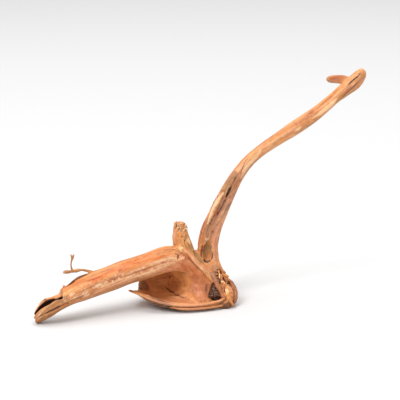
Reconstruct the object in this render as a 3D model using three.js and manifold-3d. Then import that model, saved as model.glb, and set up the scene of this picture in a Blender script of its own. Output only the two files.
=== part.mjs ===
// A dry root, 34 cm long: one grown piece of wood that stands on a leg and on the underside of a scoop.
// Its neck rises from the scoop to a hooked tip. A lump of dried earth sits in a pocket of the heel.
// Millimetres, +Z up, +X from the leg's tip towards the neck's tip, -Y on the scoop's open side.
import * as THREE from "three";
import { mergeVertices } from "three/addons/utils/BufferGeometryUtils.js";
import Module from "manifold-3d";

const wasm = await Module();
wasm.setup();

// Driving dimensions.
const RING_STEP = 5; // from one ring of a limb to the next
const SHELL_STEP = 4.5; // from one row or column of the scoop's wall to the next
const EARTH_GAP = 0.45; // clearance all round the lump of earth
const EDGE_WALL = 0.4; // thickness of the scoop's wall at its edges, as a part of its full thickness
const TRIM_BOX = 600; // side of the block that planes the underside level
const WELD = 1e-4; // points nearer than this are one point

// A station of a limb is [x, y, z, half width, half depth, roll in degrees]. The width lies in the XZ plane.

const LEG = [
  [-168.5, -72.5, 1.5, 2, 4, 0],
  [-166, -72, 4.8, 5.5, 6.5, 0],
  [-159, -71, 12.6, 9, 9.5, 0],
  [-151, -69, 19, 10, 10.5, 0],
  [-143, -66, 23, 10, 11, 0],
  [-135, -62, 26, 10, 12, 0],
  [-123, -55, 30, 12, 13, 0],
  [-108.5, -47, 34.5, 13, 13.5, 0],
  [-93, -39, 38, 13, 14, 0],
  [-78, -31, 42, 13, 14, 0],
  [-62.5, -24, 45, 13, 14, 0],
  [-47, -17, 48.5, 13.5, 13.5, 0],
  [-36, -11, 50.5, 14, 12.5, 0],
  [-26.5, -7, 50, 13.5, 11, 0],
  [-18, -4, 46.5, 12.5, 10.5, 0],
  [-9.5, 0, 39.5, 10.5, 10.5, 0],
  [-2, 5, 31.5, 8.5, 8.5, 0],
];

const LEG_HOLLOW = [
  [-175, -74, 0, 4, 5, 0],
  [-167, -72, 6, 4.2, 5, 0],
  [-159, -71, 13.5, 6.8, 7, 0],
  [-151, -69, 19, 7.5, 8, 0],
  [-144.5, -66.5, 22.5, 6, 6.5, 0],
  [-139, -64, 24.5, 2.5, 3, 0],
];

const LEG_BREAK = [
  [-177.5, -78, 11.5, 9, 10, 0],
  [-171.5, -78, 17, 9, 10, 0],
  [-164, -77, 24, 9, 10, 0],
  [-155.5, -75, 30, 9, 10, 0],
  [-148, -72, 34.5, 9, 10, 0],
  [-146, -71, 35.5, 9, 10, 0],
];

const LEG_NOTCH = [
  [-157, -66, 32.5, 9, 15.5, 0],
  [-148.5, -66, 32, 9, 15.5, 0],
  [-142.5, -64, 33, 8.5, 15.5, 0],
];

const KNOB = [
  [-15, 5, 40, 12, 12, 0],
  [-17.5, 3, 56.5, 11, 11.5, 0],
  [-20, 3, 67, 9.5, 10, 0],
  [-21, 3, 76, 8, 8.5, 0],
  [-21.5, 3, 82.5, 7, 7.5, 0],
  [-22, 3, 86, 5.5, 5.5, 0],
];

const COLLAR = [
  [-19, 6, 47.5, 10, 10, 0],
  [-10.5, 10, 43, 12.5, 12, 0],
  [-2, 12, 39, 14, 13, 0],
  [7.5, 13, 32, 13, 14, 0],
  [16, 12, 23, 10.5, 14, 0],
  [22.5, 8, 13, 9.5, 14, 0],
  [25, 4, 4, 9.5, 13, 0],
];

const RIDGE = [
  [-19, -7, 61.5, 2.5, 4, 0],
  [-13.5, -9, 56, 2.5, 4, 0],
  [-7.5, -11, 49.5, 2.3, 4, 0],
  [-1, -11.5, 42.5, 2.1, 4, 0],
  [6, -12, 35.5, 2, 3.5, 0],
  [11, -12, 29.5, 2, 3.5, 0],
  [15, -12, 23, 1.6, 3, 0],
];

const NECK = [
  [14, 8, 16.5, 9.5, 13, 0],
  [10.5, 12, 29, 10.5, 14, 0],
  [9, 14, 44, 11, 13, 0],
  [8, 16, 58, 11, 12, 0],
  [12, 19, 76, 10.5, 10.5, 5],
  [20.5, 22, 95, 9.5, 9.5, 10],
  [30.5, 25, 115.5, 8.5, 9, 15],
  [41.5, 27, 134.5, 7, 8.5, 10],
  [53, 28, 148.5, 6.5, 8, 0],
  [68, 28, 161.5, 6.5, 8, -5],
  [87, 28, 174.5, 7, 8, -5],
  [105.5, 27, 187, 7.6, 8, 0],
  [122, 26, 199, 7, 7.5, 5],
  [137.5, 25, 212.5, 6.4, 7, 5],
  [152, 24, 226, 6.5, 6.5, 0],
  [161, 23, 235.5, 6, 5.5, 0],
  [167.5, 22, 243, 4.5, 4.5, 0],
  [170.5, 22, 246.5, 2.5, 2.5, 0],
];

const NECK_PIT = [
  [10, 2, 68, 1.5, 4, 0],
  [9, 1, 63.5, 4, 7.5, 0],
  [8, 0, 57, 5.3, 9.5, 0],
  [7.5, 0, 50.5, 5.2, 9.5, 0],
  [8, 0, 44.5, 3.2, 8.5, 0],
];

const TIP_LOBE = [
  [139, 30, 209, 2.5, 5, 0],
  [154.5, 30, 220.5, 3.5, 6, 0],
  [165, 29, 229.5, 4, 6.5, 0],
  [171, 27, 238, 3.5, 6, 0],
  [171.5, 25, 244, 2.5, 4, 0],
];

const HOOK = [
  [159, 27, 232, 5, 5, 0],
  [150.5, 36, 233.5, 5, 5.5, 0],
  [142, 46, 232.5, 4.5, 5, 0],
  [137.5, 51, 232, 3.5, 4, 0],
  [135.5, 53, 232, 1.8, 2, 0],
];

const HEEL = [
  [16, 12, 40.5, 5.5, 9.5, 0],
  [17.5, 12, 33.5, 7, 12, 0],
  [20.5, 11, 25, 8, 14, 0],
  [24, 8, 16.5, 9.5, 17, 0],
  [27, 3, 9.5, 11, 20.5, 0],
  [27, -2, 4.5, 11, 22.5, 0],
  [25, -7, -1.5, 10, 21.5, 0],
  [23.5, -9, -8, 9, 20, 0],
];

const CROWN = [
  [-4, 8, 38, 12, 11, 0],
  [1, 6, 26, 13, 13, 0],
  [8, 2, 14, 14, 15, 0],
  [12, -1, 4, 14, 18, 0],
  [12, -3, -4, 13, 17, 0],
];

const STRUT = [
  [11.5, -4, 29.5, 3, 3, 0],
  [15.5, -9, 24, 3, 3, 0],
  [20, -15, 18, 3, 3, 0],
  [23.5, -18, 12.5, 3, 3, 0],
  [26, -19, 7, 3, 3, 0],
];

const RIM = [
  [-75, -26, 20.5, 0.9, 1.5, 0],
  [-69, -28, 19.5, 1.4, 2.5, 0],
  [-61.5, -31, 17.5, 1.6, 3, 0],
  [-52, -34, 14, 2, 3.5, 0],
  [-41.5, -36, 10.5, 2.4, 3.5, 0],
  [-29, -36, 7.5, 2.6, 4, 0],
  [-15.5, -34, 5.5, 3, 4, 0],
  [-2, -31, 4.5, 3.4, 4, 0],
  [10.5, -27, 5, 3.5, 4, 0],
  [22, -21, 6.5, 3.5, 4, 0],
  [32, -12, 9, 3, 4, 0],
];

const BUTTRESS = [
  [10, 20, 52, 9, 8, 0],
  [4, 23, 40, 10, 10, 0],
  [-7, 23, 28, 11, 12, 0],
  [-21, 22, 19, 10, 11, 0],
  [-35, 22.5, 13, 7, 5, 0],
  [-46, 18, 9, 3, 2.5, 0],
];

const ROOTLET = [
  [-107, -45, 43.5, 2, 2, 0],
  [-110.5, -46.5, 46.5, 1.5, 1.8, 0],
  [-115, -48, 48, 1.4, 1.4, 0],
  [-121, -50, 50, 1.1, 1.1, 0],
  [-126, -52, 51, 1.5, 1.5, 0],
  [-130, -53, 49.5, 1.6, 1.5, 0],
  [-135, -55, 50.2, 1.1, 1.1, 0],
  [-140.5, -57, 49, 0.7, 0.7, 0],
];

const TWIG = [
  [-130.5, -53, 49.5, 1, 1, 0],
  [-132, -54, 54.5, 0.9, 0.9, 0],
  [-131.5, -55, 60, 0.8, 0.8, 0],
  [-130.5, -56, 64.5, 1, 0.9, 0],
  [-131, -57, 68.5, 0.6, 0.6, 0],
];

const TWIG_FORK = [
  [-131, -56, 61.5, 0.7, 0.7, 0],
  [-129.5, -55, 65, 0.8, 0.7, 0],
  [-128.5, -54, 68.5, 0.5, 0.5, 0],
];

const FLAKE = [
  [-140.5, -64, 26.5, 2.2, 2, 0],
  [-140, -63, 32, 1.5, 1.5, 0],
  [-138.5, -62, 38, 0.6, 0.6, 0],
];

const SPLINTER = [
  [28, -20, 14, 1.5, 1.5, 0],
  [32.5, -22, 8, 1.4, 1.2, 0],
  [35.5, -23, 3, 0.8, 0.8, 0],
];

// The scoop's wall, as points on its middle surface. A row runs from the rim's edge under the floor, up the
// back and over to the top edge; the rows go from the open left end to the heel.
const SHELL = [
  [[-69, -26, 20], [-67.5, -18, 16.5], [-66.5, -6, 15], [-66, 3, 17], [-65, 4, 25], [-63, -12, 37]],
  [[-55.5, -33, 14.5], [-54, -23, 10.5], [-53, -4, 6.5], [-51.5, 12, 10], [-50.5, 15, 21], [-49, -6, 40]],
  [[-39.5, -36, 10], [-39, -25, 5], [-38, -2, 3.5], [-37, 17, 10], [-36, 20, 22], [-35, -2, 42]],
  [[-27, -36, 7.5], [-27, -28, 4], [-27, -8, 3.5], [-26.5, 9, 11], [-26, 7, 25], [-26, -9, 43]],
  [[-16, -34.5, 6], [-16, -28, 4.5], [-16, -17, 6], [-15.5, -6, 13], [-15, -4, 27], [-16.5, -10.5, 50]],
  [[-6, -32.5, 5.2], [-6, -28, 5], [-6, -22, 8], [-5.5, -14, 14], [-6, -8, 27], [-7, -11, 48]],
  [[4, -30, 5], [4, -26, 5.5], [4, -22, 9], [4, -16, 15], [4, -10, 24], [3.5, -11, 38]],
  [[14, -26, 5.5], [14, -23, 6], [13.5, -20, 9], [13, -16, 13], [12.5, -12, 18], [12.5, -10, 27]],
];
const SHELL_WALLS = [3.6, 5, 6, 7, 7, 7, 6.5, 5.5];

// The pocket in the heel, and the space in front of the earth that partly fills it.
const POCKET = [
  [14.5, -13, 25, 1.2, 6.5, 0],
  [14.5, -14, 20.5, 2.8, 8.5, 0],
  [15.5, -15.5, 15, 5, 9.5, 0],
  [16, -17, 10, 6.3, 9.5, 0],
  [16, -18, 7, 5.8, 8.5, 0],
];

const EARTH_FACE = [
  [14, -21, 28, 6, 9, 0],
  [15.5, -25, 20, 8, 10, 0],
  [16, -28, 12, 9, 9, 0],
  [16, -30, 4, 9, 8, 0],
];

// A closed tube through the stations, with an oval section that has flutes along it.
function limb(stations, shape = {}) {
  const { sides = 16, step = RING_STEP, flutes = 3, fluteDepth = 0.05, twist = 0.4, cap = 0.25 } = shape;
  const line = new THREE.CatmullRomCurve3(stations.map(([x, y, z]) => new THREE.Vector3(x, y, z)));
  const sizes = stations.map(([, , , wide, deep, roll]) => new THREE.Vector3(wide, deep, roll));
  const size = new THREE.CatmullRomCurve3(sizes);
  const rings = Math.max(4, Math.round(line.getLength() / step));
  const positions = [];
  for (let i = 0; i <= rings; i++) {
    const t = line.getUtoTmapping(i / rings);
    const centre = line.getPoint(t);
    const { x: halfWidth, y: halfDepth, z: roll } = size.getPoint(t);
    const tangent = line.getTangent(t);
    const across = new THREE.Vector3(0, 1, 0).cross(tangent).normalize();
    const deep = new THREE.Vector3().crossVectors(tangent, across);
    const turn = THREE.MathUtils.degToRad(roll);
    for (let k = 0; k < sides; k++) {
      const angle = (k / sides) * 2 * Math.PI;
      const swell = 1 + fluteDepth * Math.cos(flutes * angle + twist * i);
      const w = Math.cos(angle) * halfWidth * swell;
      const d = Math.sin(angle) * halfDepth * swell;
      const point = centre.clone();
      point.addScaledVector(across, w * Math.cos(turn) - d * Math.sin(turn));
      point.addScaledVector(deep, w * Math.sin(turn) + d * Math.cos(turn));
      positions.push(...point);
    }
  }
  for (const [t, sign] of [[0, -1], [1, 1]]) {
    const bulge = size.getPoint(t).x * cap * sign;
    positions.push(...line.getPoint(t).addScaledVector(line.getTangent(t), bulge));
  }
  const index = [];
  const first = (rings + 1) * sides;
  for (let k = 0; k < sides; k++) {
    const next = (k + 1) % sides;
    for (let i = 0; i < rings; i++) {
      const [a, b] = [i * sides + k, i * sides + next];
      index.push(a, b, a + sides, b, b + sides, a + sides);
    }
    index.push(first, next, k, first + 1, rings * sides + k, rings * sides + next);
  }
  return solid(positions, index);
}

// A closed sheet about the middle surface through the rows' points, thinner along its edges.
function sheet(rows, thicknesses) {
  const vectors = rows.map((row) => row.map((p) => new THREE.Vector3(...p)));
  const across = vectors.map((row) => new THREE.CatmullRomCurve3(row));
  const columns = Math.round(Math.max(...across.map((curve) => curve.getLength())) / SHELL_STEP);
  const strips = [];
  for (let j = 0; j <= columns; j++) {
    strips.push(new THREE.CatmullRomCurve3(across.map((curve) => curve.getPoint(j / columns))));
  }
  const walls = new THREE.CatmullRomCurve3(thicknesses.map((wall, i) => new THREE.Vector3(wall, i, 0)));
  const length = Math.max(...strips.map((curve) => curve.getLength()));
  const lines = Math.round(length / SHELL_STEP);
  const middle = (i, j) => strips[j].getPoint(i / lines);
  const faces = [[], []];
  for (let i = 0; i <= lines; i++) {
    for (let j = 0; j <= columns; j++) {
      const along = middle(Math.min(i + 1, lines), j).sub(middle(Math.max(i - 1, 0), j));
      const round = middle(i, Math.min(j + 1, columns)).sub(middle(i, Math.max(j - 1, 0)));
      const normal = along.cross(round).normalize();
      const edge = Math.min(i + 1, j + 1, columns - j + 1, 2) / 2;
      const half = (walls.getPoint(i / lines).x / 2) * (EDGE_WALL + (1 - EDGE_WALL) * edge);
      faces[0].push(middle(i, j).addScaledVector(normal, half));
      faces[1].push(middle(i, j).addScaledVector(normal, -half));
    }
  }
  const size = (lines + 1) * (columns + 1);
  const at = (side, i, j) => side * size + i * (columns + 1) + j;
  const index = [];
  const quad = (a, b, c, d) => index.push(a, b, c, a, c, d);
  for (let i = 0; i < lines; i++) {
    for (let j = 0; j < columns; j++) {
      quad(at(0, i, j), at(0, i + 1, j), at(0, i + 1, j + 1), at(0, i, j + 1));
      quad(at(1, i, j), at(1, i, j + 1), at(1, i + 1, j + 1), at(1, i + 1, j));
    }
    quad(at(0, i, 0), at(1, i, 0), at(1, i + 1, 0), at(0, i + 1, 0));
    quad(at(0, i, columns), at(0, i + 1, columns), at(1, i + 1, columns), at(1, i, columns));
  }
  for (let j = 0; j < columns; j++) {
    quad(at(0, 0, j), at(0, 0, j + 1), at(1, 0, j + 1), at(1, 0, j));
    quad(at(0, lines, j), at(1, lines, j), at(1, lines, j + 1), at(0, lines, j + 1));
  }
  return solid(faces.flat().flatMap((p) => [...p]), index);
}

// A manifold solid from points and triangles, turned to face out.
function solid(positions, index) {
  const vertProperties = new Float32Array(positions);
  const make = (triangles) => {
    const triVerts = new Uint32Array(triangles);
    return new wasm.Manifold(new wasm.Mesh({ numProp: 3, vertProperties, triVerts }));
  };
  const made = make(index);
  if (made.volume() > 0) return made;
  const turned = [];
  for (let i = 0; i < index.length; i += 3) turned.push(index[i], index[i + 2], index[i + 1]);
  return make(turned);
}

// A three.js geometry as a solid, and back.
function solidOf(geometry) {
  const bare = geometry.clone();
  bare.deleteAttribute("normal");
  bare.deleteAttribute("uv");
  const merged = mergeVertices(bare, WELD);
  return solid([...merged.attributes.position.array], [...merged.index.array]);
}

function geometryOf(made) {
  const { vertProperties, triVerts, numProp } = made.getMesh();
  const positions = new Float32Array((vertProperties.length / numProp) * 3);
  for (let i = 0; i < positions.length / 3; i++) {
    positions.set(vertProperties.subarray(i * numProp, i * numProp + 3), i * 3);
  }
  const geometry = new THREE.BufferGeometry();
  geometry.setAttribute("position", new THREE.BufferAttribute(positions, 3));
  geometry.setIndex(new THREE.BufferAttribute(new Uint32Array(triVerts), 1));
  return geometry;
}

function rootSolid() {
  const thin = { sides: 7, step: 3, flutes: 0, fluteDepth: 0 };
  const parts = [
    limb(LEG, { sides: 20, fluteDepth: 0.04, twist: 0.05 }),
    limb(KNOB, { sides: 16, flutes: 4, fluteDepth: 0.07, twist: 0.2 }),
    limb(COLLAR, { sides: 18 }),
    limb(RIDGE, { sides: 8 }),
    limb(NECK, { fluteDepth: 0.06, twist: 0.08 }),
    limb(TIP_LOBE, { sides: 12 }),
    limb(HOOK, { sides: 12, step: 4, fluteDepth: 0.04 }),
    limb(HEEL, { sides: 18, flutes: 5, fluteDepth: 0.07 }),
    limb(STRUT, { sides: 9 }),
    limb(RIM, { sides: 10, flutes: 2 }),
    limb(BUTTRESS),
    limb(CROWN),
    sheet(SHELL, SHELL_WALLS),
    limb(ROOTLET, thin),
    limb(TWIG, thin),
    limb(TWIG_FORK, thin),
    limb(FLAKE, thin),
    limb(SPLINTER, thin),
  ];
  const whole = parts.reduce((all, next) => all.add(next));
  const under = new THREE.BoxGeometry(TRIM_BOX, TRIM_BOX, TRIM_BOX).translate(0, 0, -TRIM_BOX / 2);
  const cuts = [
    limb(LEG_HOLLOW, { sides: 12 }),
    limb(LEG_BREAK, { sides: 12 }),
    limb(LEG_NOTCH, { sides: 12 }),
    limb(NECK_PIT, { sides: 14, step: 4, flutes: 0 }),
    limb(POCKET, { sides: 12, step: 4, flutes: 0 }),
    solidOf(under),
  ];
  return cuts.reduce((all, cut) => all.subtract(cut), whole);
}

function earthSolid() {
  const inset = POCKET.map(([x, y, z, w, d]) => [x, y, z, w - EARTH_GAP, d - EARTH_GAP, 0]);
  const bulk = limb(inset, { sides: 12, step: 4, flutes: 0, cap: 0 });
  return bulk.subtract(limb(EARTH_FACE, { sides: 14, step: 4, flutes: 5 }));
}

const wood = new THREE.MeshStandardMaterial({ color: 0xc98a5b, roughness: 0.7, metalness: 0 });
const earth = new THREE.MeshStandardMaterial({ color: 0x4a3630, roughness: 0.95, metalness: 0 });

const root = new THREE.Mesh(geometryOf(rootSolid()), wood);
root.name = "root_wood";
const lump = new THREE.Mesh(geometryOf(earthSolid()), earth);
lump.name = "packed_earth";

const part = new THREE.Group();
part.add(root, lump);

// The origin is under the middle of the whole piece, on the surface that it stands on.
const box = new THREE.Box3().setFromObject(root);
const middle = box.getCenter(new THREE.Vector3());
for (const mesh of [root, lump]) mesh.geometry.translate(-middle.x, -middle.y, -box.min.z);

export default part;
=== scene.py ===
import itertools
import math

import bmesh
import bpy
import numpy as np
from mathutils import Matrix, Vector


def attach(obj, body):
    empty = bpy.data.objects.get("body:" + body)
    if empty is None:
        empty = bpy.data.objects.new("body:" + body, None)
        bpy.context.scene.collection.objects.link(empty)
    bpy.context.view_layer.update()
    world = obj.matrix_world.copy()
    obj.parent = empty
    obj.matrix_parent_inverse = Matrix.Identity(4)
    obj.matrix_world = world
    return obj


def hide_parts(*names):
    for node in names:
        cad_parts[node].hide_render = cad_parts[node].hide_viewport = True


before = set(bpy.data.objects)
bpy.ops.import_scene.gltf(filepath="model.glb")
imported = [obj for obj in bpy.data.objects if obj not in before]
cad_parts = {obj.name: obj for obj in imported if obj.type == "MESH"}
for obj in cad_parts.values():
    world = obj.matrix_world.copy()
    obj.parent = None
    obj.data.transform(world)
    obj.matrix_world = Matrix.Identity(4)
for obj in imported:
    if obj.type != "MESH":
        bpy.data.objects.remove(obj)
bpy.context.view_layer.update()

MM = 0.001
SKIN = 0.66  # side of the wood mesh's squares
EARTH_SKIN = 0.5  # side of the earth mesh's squares
SMOOTHING = 34  # rounds, which round the worn wood's edges to about 2 mm
BLEND = 3.0  # width over which one limb's grain gives way to the next limb's
PATH_STEP = 1.5  # between points of a smooth path
CHUNK = 20000  # points worked on at a time
GRADIENT = 1.6  # brings gradient noise to about -1 to 1
FILL_SIDES = 12  # of the tubes that join a mesh before its squares are made
DETAIL_SIDES = 8
SPLINTER_SIDES = 5
TUBE_TURN = 0.5  # radians that each tube is turned from the one before, so that their sides differ
TUFTS = 34  # on the knob's broken top
TUFT_TURN = 2.4  # radians from one tuft to the next, which spreads them evenly
TUFT_SPREAD = 6.0  # from the middle of the knob's top to its outermost tuft
BLOCKS = 46  # of split wood in the heel
LOBE_BLOCKS = 16  # on the brown lobe at the heel's right
SPLINTER_SEED = 7
LOWEST = 0.05  # the least gap between the wood and the floor

# Each limb's middle line as (x, y, z, radius). The wood's grain runs along it.
LIMBS = {
    "leg": [
        (-170, -59, 2, 5), (-153, -56, 19, 10), (-125, -42, 30, 12), (-95, -26, 38, 13), (-64, -11, 45, 13),
        (-38, 2, 50, 13), (-26, 5, 46, 13), (-14, 3, 34, 12), (-5, -1, 20, 11), (0, -7, 6, 10),
    ],
    "knob": [
        (-24, 16, 90, 6), (-22, 16, 70, 9), (-19, 15, 56, 11), (-10, 15, 46, 10), (0, 17, 37, 10),
        (10, 17, 28, 9), (18, 11, 18, 9), (25, 5, 7, 9),
    ],
    "neck": [
        (22, 17, 4, 15), (16, 23, 22, 12), (9, 26, 36, 11), (6, 29, 58, 11), (10, 32, 76, 10),
        (18, 35, 95, 9), (28, 38, 115, 9), (39, 40, 134, 8), (51, 41, 148, 7), (66, 41, 161, 7),
        (85, 41, 174, 7), (103, 40, 187, 8), (120, 39, 199, 7), (135, 38, 212, 6), (150, 37, 226, 6),
        (159, 36, 235, 6), (169, 35, 247, 4),
    ],
    "bowl": [
        (-70, 8, 14, 16), (-52, 18, 7, 16), (-32, 19, 6, 16), (-12, 8, 8, 16), (8, -2, 8, 16), (26, 5, 6, 16),
    ],
    "rim": [
        (-77, -13, 20, 2), (-64, -18, 17, 3), (-44, -23, 10, 3), (-31, -23, 8, 3), (-4, -18, 5, 3),
        (8, -14, 5, 4), (20, -8, 7, 4), (30, 1, 9, 4),
    ],
    "hook": [(160, 38, 233, 5), (148, 49, 234, 5), (140, 59, 232, 5), (132, 67, 232, 2)],
}
# The slight parts, which are neither smoothed nor fluted like the limbs, as (x, y, z, reach).
SLIGHT = [
    [(-109, -32, 43, 3), (-117, -35, 48, 3), (-128, -39, 51, 3), (-143, -44, 49, 3)],
    [(-133, -40, 50, 3), (-134, -41, 55, 3), (-133, -43, 69, 4)],
    [(-143, -51, 27, 4), (-141, -49, 38, 3)],
    [(26, -7, 14, 3), (33, -10, 3, 3)],
]
# The edges that stay crisp when the rest is smoothed.
CRISP = [
    [(-21, 6, 62, 5), (-10, 2, 49, 5), (4, 1, 35, 5), (13, 1, 23, 5)],
    [(-77, -13, 20, 4), (-54, -21, 14, 5), (-31, -23, 8, 5), (8, -14, 5, 5), (30, 1, 9, 5)],
    [(-172, -60, 4, 12), (-160, -58, 16, 15), (-148, -55, 26, 13), (-141, -51, 30, 8)],
    [(5, 15, 65, 6), (5, 15, 50, 7), (5, 15, 43, 6)],
]
# The leg's hollow end, painted dark inside as shade, the neck's decayed side, the knob's frayed top, and the
# heel's broken bed.
PIPE = [[(-169, -57, 4, 4), (-161, -55, 12, 6), (-153, -54, 17, 6.5), (-145, -52, 21, 5.5)]]
DECAYED = [[(3, 22, 62, 8), (10, 30, 88, 8), (22, 34, 108, 7), (34, 36, 128, 5)]]
FRAYED = [[(-24, 16, 90, 8), (-23, 16, 84, 8)]]
BROKEN = [[(19, 12, 31, 4.5), (23, 9, 24, 5.5), (27, 5, 17, 4.5), (28, -2, 11, 3)]]
# Broad washes of colour: mask, amount, and a path as (x, y, z, reach).
WASHES = [
    # Painted shade deep in the scoop's far left end.
    ("rust", 0.45, [(-68, 12, 20, 9), (-60, 20, 15, 8)]),
    ("dark", 0.55, [(-70, 14, 20, 8), (-62, 18, 14, 5)]),
    ("raw", 0.55, [(-54, 22, 17, 12), (-38, 24, 15, 13), (-22, 8, 24, 10)]),
    ("brown", 0.55, [(-30, 20, 12, 8), (-14, 4, 24, 9), (-4, -3, 20, 9), (2, -11, 11, 8)]),
    ("rust", 0.35, [(-20, 3, 52, 5), (-12, 0, 42, 8), (-3, -4, 26, 8)]),
    ("red", 0.4, [(-18, 0, 48, 8), (-8, -2, 32, 9), (0, -9, 14, 8)]),
    # Painted shadow on the face left of the earth pocket.
    ("rust", 0.5, [(8, 2, 27, 3), (7, -3, 20, 4), (5, -8, 13, 3)]),
    ("brown", 0.4, [(12, 3, 27, 4), (17, -3, 21, 4), (22, -8, 12, 4)]),
    ("grey", 0.7, [(7, 22, 76, 5), (10, 23, 84, 6), (16, 26, 92, 6), (22, 28, 101, 6)]),
    ("brown", 0.4, [(4, 20, 68, 6), (9, 22, 80, 6)]),
    ("grey", 0.35, [(24, 29, 109, 4), (28, 31, 120, 6), (32, 32, 132, 6)]),
    ("olive", 0.55, [(24, 31, 116, 4), (28, 32, 125, 5), (32, 33, 134, 4)]),
    ("grey", 0.5, [(14, 14, 37, 3), (22, 14, 33, 3)]),
    ("brown", 0.3, [(26, 29, 112, 3), (30, 31, 122, 4), (34, 33, 134, 4)]),
    ("grey", 0.35, [(27, 28, 104, 5), (33, 31, 116, 5)]),
    ("olive", 0.5, [(-112, -33, 47, 3), (-130, -40, 50, 3), (-142, -44, 49, 3)]),
    ("olive", 0.4, [(-134, -41, 52, 2), (-134, -41, 60, 3)]),
    ("brown", 0.6, [(-133, -43, 63, 3), (-133, -43, 70, 3)]),
    ("brown", 0.6, [(31, 12, 26, 5), (34, 5, 14, 6), (31, -6, 4, 5)]),
    ("olive", 0.35, [(-24, 18, 78, 6), (-14, 14, 60, 7), (-2, 17, 46, 6)]),
    ("brown", 0.3, [(-163, -64, 8, 7), (-150, -64, 18, 8), (-141, -60, 24, 6)]),
    # Painted shade on the rim's underside, near the floor.
    ("brown", 1.0, [(-58, -23, 11.5, 5), (-48, -26.5, 8.5, 7), (-34, -27.5, 4.5, 6), (-20, -26, 1.5, 4)]),
    ("dark", 0.8, [(-58, -23, 11, 4), (-48, -26.5, 8.5, 5.6), (-40, -27.5, 6, 5.4), (-30, -27, 2.5, 4)]),
    # Painted shadow inside the scoop, behind its rim.
    ("rust", 0.4, [
        (-66, 2, 15, 10), (-54, -2, 10, 11), (-38, -8, 7, 10), (-22, -12, 6, 7), (-12, -15, 6, 4),
    ]),
    ("brown", 0.8, [(16, -14, 1, 4), (25, -13, 3, 6), (31, -10, 4, 6), (35, -5, 6, 4)]),
    ("dark", 0.7, [(18, -14, 1, 2), (25, -13, 2, 3), (31, -10, 3, 4), (35, -5, 5, 3)]),
    # Painted shade on the hook, which lies behind the neck.
    ("brown", 0.55, [(154, 43, 236, 3), (147, 50, 234, 6), (139, 59, 232, 5), (132, 67, 231, 4)]),
    ("grey", 0.25, [(-60, -19, 16, 3), (-42, -24, 11, 3), (-20, -25, 8, 3), (4, -20, 7, 3)]),
]
# Streaks that follow the grain: mask, amount, how mottled they are, and the band that they lie in.
BANDS = [
    ("red", 1.0, 0.15, [
        (-139, -52, 36, 4), (-112, -46, 43, 5), (-85, -32, 50, 5), (-56, -17, 58, 5), (-36, -6, 63, 5),
    ]),
    ("cream", 0.8, 1.0, [(-138, -59, 28, 4), (-126, -56, 31, 6), (-99, -44, 37, 5), (-76, -34, 42, 4)]),
    ("cream", 0.6, 1.0, [(-70, -30, 43, 4), (-50, -19, 48, 4), (-30, -7, 52, 3)]),
    ("pink", 0.8, 0.8, [(-130, -55, 28, 7), (-96, -40, 34, 8), (-64, -24, 42, 8), (-40, -10, 48, 7)]),
    # Gold along the leg's top: the wood's own tone, and painted light on the top.
    ("gold", 0.9, 0.4, [(-134, -44, 41, 5), (-101, -28, 50, 6), (-75, -14, 56, 6), (-50, -3, 62, 5)]),
    # Painted shade along the leg's lower side.
    ("brown", 0.5, 0.3, [
        (-141, -60, 16, 5), (-119, -50, 20, 5), (-96, -38, 25, 5), (-75, -26, 30, 5), (-50, -10, 35, 5),
    ]),
    ("brown", 0.7, 0.3, [
        (-135, -45, 40, 2), (-125, -38, 43, 2), (-95, -22, 52, 2), (-64, -7, 59, 2), (-40, 4, 64, 2),
    ]),
    ("brown", 0.5, 0.3, [(40, 32, 132, 4), (66, 35, 158, 4), (95, 34, 178, 4), (120, 33, 196, 4)]),
    ("rust", 0.5, 0.4, [(-17, 4, 50, 5), (-8, -1, 34, 7), (0, -8, 18, 6)]),
    # Painted light: pink on the neck's lit side.
    ("pink", 0.8, 0.8, [(14, 20, 55, 6), (18, 25, 84, 6), (30, 30, 110, 6), (42, 33, 130, 6)]),
]
# What each kind of mark does: the height that it adds to the wood, and the masks that it paints.
KINDS = {
    "red": (0.0, {"red": 0.9}),
    "gold": (0.0, {"gold": 0.8}),
    "cream": (0.15, {"cream": 0.6}),
    "pink": (0.1, {"pink": 0.9}),
    "scribble": (-0.4, {"rust": 1.0}),
    "brown": (-0.1, {"brown": 0.65}),
    "khaki": (0.0, {"olive": 0.55}),
    "olive": (-0.2, {"olive": 0.9}),
    "grey": (-0.1, {"grey": 0.8}),
    "rust": (-0.1, {"rust": 0.75}),
    "dark": (-0.3, {"dark": 0.6}),
    "bark": (0.3, {"dark": 0.8}),
    # A raised strip with a painted highlight along it.
    "strip": (0.6, {"raw": 0.45, "cream": 0.75}),
    "line": (-0.5, {"brown": 0.6, "dark": 0.55}),
    "decay": (-1.5, {"grey": 0.8, "brown": 0.5}),
    "crack": (-1.3, {"dark": 1.0}),
    "groove": (-1.0, {"brown": 1.0}),
    "gash": (-1.2, {"rust": 1.0, "dark": 0.35}),
    "seam": (-2.0, {"dark": 1.0}),
    "hole": (-1.4, {"dark": 1.0}),
    "lip": (0.6, {"pink": 0.6, "cream": 0.3}),
    "ridge": (0.6, {"gold": 0.7}),
    "raw": (0.3, {"raw": 1.0}),
}
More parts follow.
